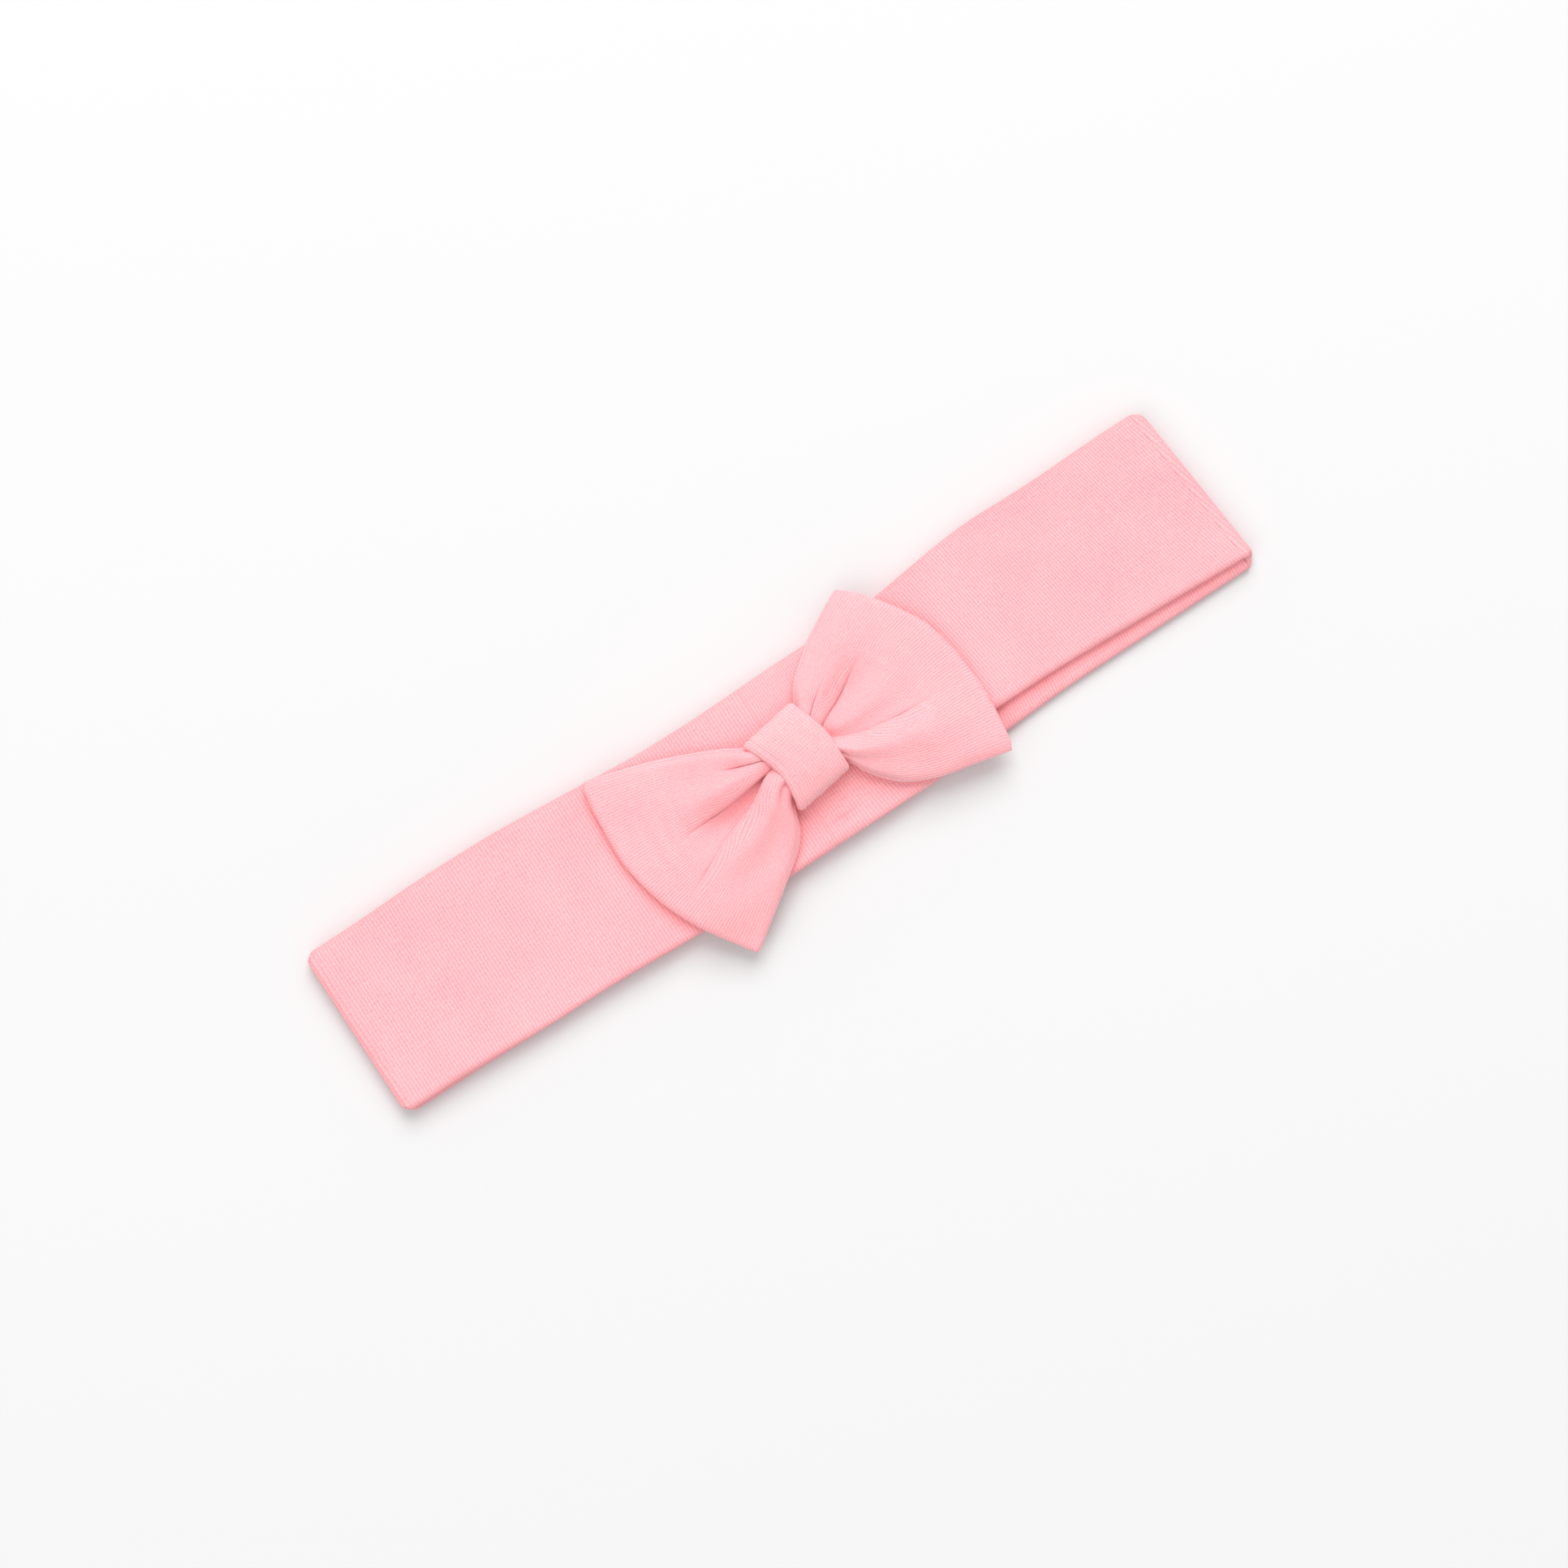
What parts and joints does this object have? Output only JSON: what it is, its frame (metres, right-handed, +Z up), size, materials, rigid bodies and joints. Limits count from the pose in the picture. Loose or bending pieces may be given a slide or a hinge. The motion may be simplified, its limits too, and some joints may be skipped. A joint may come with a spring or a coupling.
{
  "type": "child's knitted bow headband",
  "caption": "Soft rib-knit headband loop folded flat, with a gathered and knotted bow sewn to its front half.",
  "frame": {"origin": "middle of the folded band on the resting plane, on the underside of the back half", "axes": "+X along the flat band, +Y across it towards the head's crown, +Z up from the resting plane through the front half and the bow"},
  "size_m": [0.2, 0.0515, 0.0141],
  "materials": {
    "rib_knit": "matt pale pink cotton and elastane rib knit",
    "rib_knit_inner": "the same knit, on the side turned inwards",
    "sewing_thread": "pink spun polyester sewing thread"
  },
  "bodies": {
    "back_centre": {"back_centre_outer_ply": "rib_knit", "back_centre_lining_ply": "rib_knit_inner"},
    "back_left": {"back_left_outer_ply": "rib_knit", "back_left_lining_ply": "rib_knit_inner", "left_fold_turn": "rib_knit"},
    "back_right": {"back_right_outer_ply": "rib_knit", "back_right_lining_ply": "rib_knit_inner", "right_fold_turn": "rib_knit"},
    "front_left": {"front_left_outer_ply": "rib_knit", "front_left_lining_ply": "rib_knit_inner"},
    "front_right": {"front_right_outer_ply": "rib_knit", "front_right_lining_ply": "rib_knit_inner"},
    "front_centre": {"front_centre_outer_ply": "rib_knit", "front_centre_lining_ply": "rib_knit_inner", "join_thread": "sewing_thread", "bow_waist": "rib_knit_inner", "gather_thread": "sewing_thread", "knot_inner_ply": "rib_knit_inner", "knot_outer_ply": "rib_knit", "tack_thread": "sewing_thread"},
    "front_centre_right": {"front_centre_right_outer_ply": "rib_knit", "front_centre_right_lining_ply": "rib_knit_inner"},
    "bow_left_wing": {"bow_left_face_ply": "rib_knit", "bow_left_back_ply": "rib_knit_inner"},
    "bow_right_wing": {"bow_right_face_ply": "rib_knit", "bow_right_back_ply": "rib_knit_inner"}
  },
  "joints": [
    {"name": "back_left_bend", "type": "hinge", "parent": "back_centre", "child": "back_left", "pos_m": [-0.017, 0, 0.0022], "axis": [0, 1, 0], "range_deg": [0, 50]},
    {"name": "left_fold", "type": "hinge", "parent": "back_left", "child": "front_left", "pos_m": [-0.0976, 0, 0.0024], "axis": [0, -1, 0], "range_deg": [0, 100]},
    {"name": "front_left_bend", "type": "hinge", "parent": "front_left", "child": "front_centre", "pos_m": [-0.017, 0, 0.0026], "axis": [0, 1, 0], "range_deg": [0, 50]},
    {"name": "back_right_bend", "type": "hinge", "parent": "back_centre", "child": "back_right", "pos_m": [0.017, 0, 0.0022], "axis": [0, -1, 0], "range_deg": [0, 50]},
    {"name": "right_fold", "type": "hinge", "parent": "back_right", "child": "front_right", "pos_m": [0.0976, 0, 0.0024], "axis": [0, 1, 0], "range_deg": [0, 100]},
    {"name": "front_right_bend", "type": "hinge", "parent": "front_right", "child": "front_centre_right", "pos_m": [0.017, 0, 0.0026], "axis": [0, -1, 0], "range_deg": [0, 50]},
    {"name": "left_wing_lift", "type": "hinge", "parent": "front_centre", "child": "bow_left_wing", "pos_m": [-0.00392, -0.00227, 0.01105], "axis": [-0.1564, 0.9877, 0], "range_deg": [0, 60]},
    {"name": "right_wing_lift", "type": "hinge", "parent": "front_centre", "child": "bow_right_wing", "pos_m": [0.00892, -0.00023, 0.01105], "axis": [0.1564, -0.9877, 0], "range_deg": [0, 60]}
  ],
  "couplings": [
    {"joint": "left_fold", "follows": "back_left_bend", "ratio": 2},
    {"joint": "front_left_bend", "follows": "back_left_bend", "ratio": 1},
    {"joint": "back_right_bend", "follows": "back_left_bend", "ratio": 1},
    {"joint": "right_fold", "follows": "back_left_bend", "ratio": 2},
    {"joint": "front_right_bend", "follows": "back_left_bend", "ratio": 1}
  ]
}
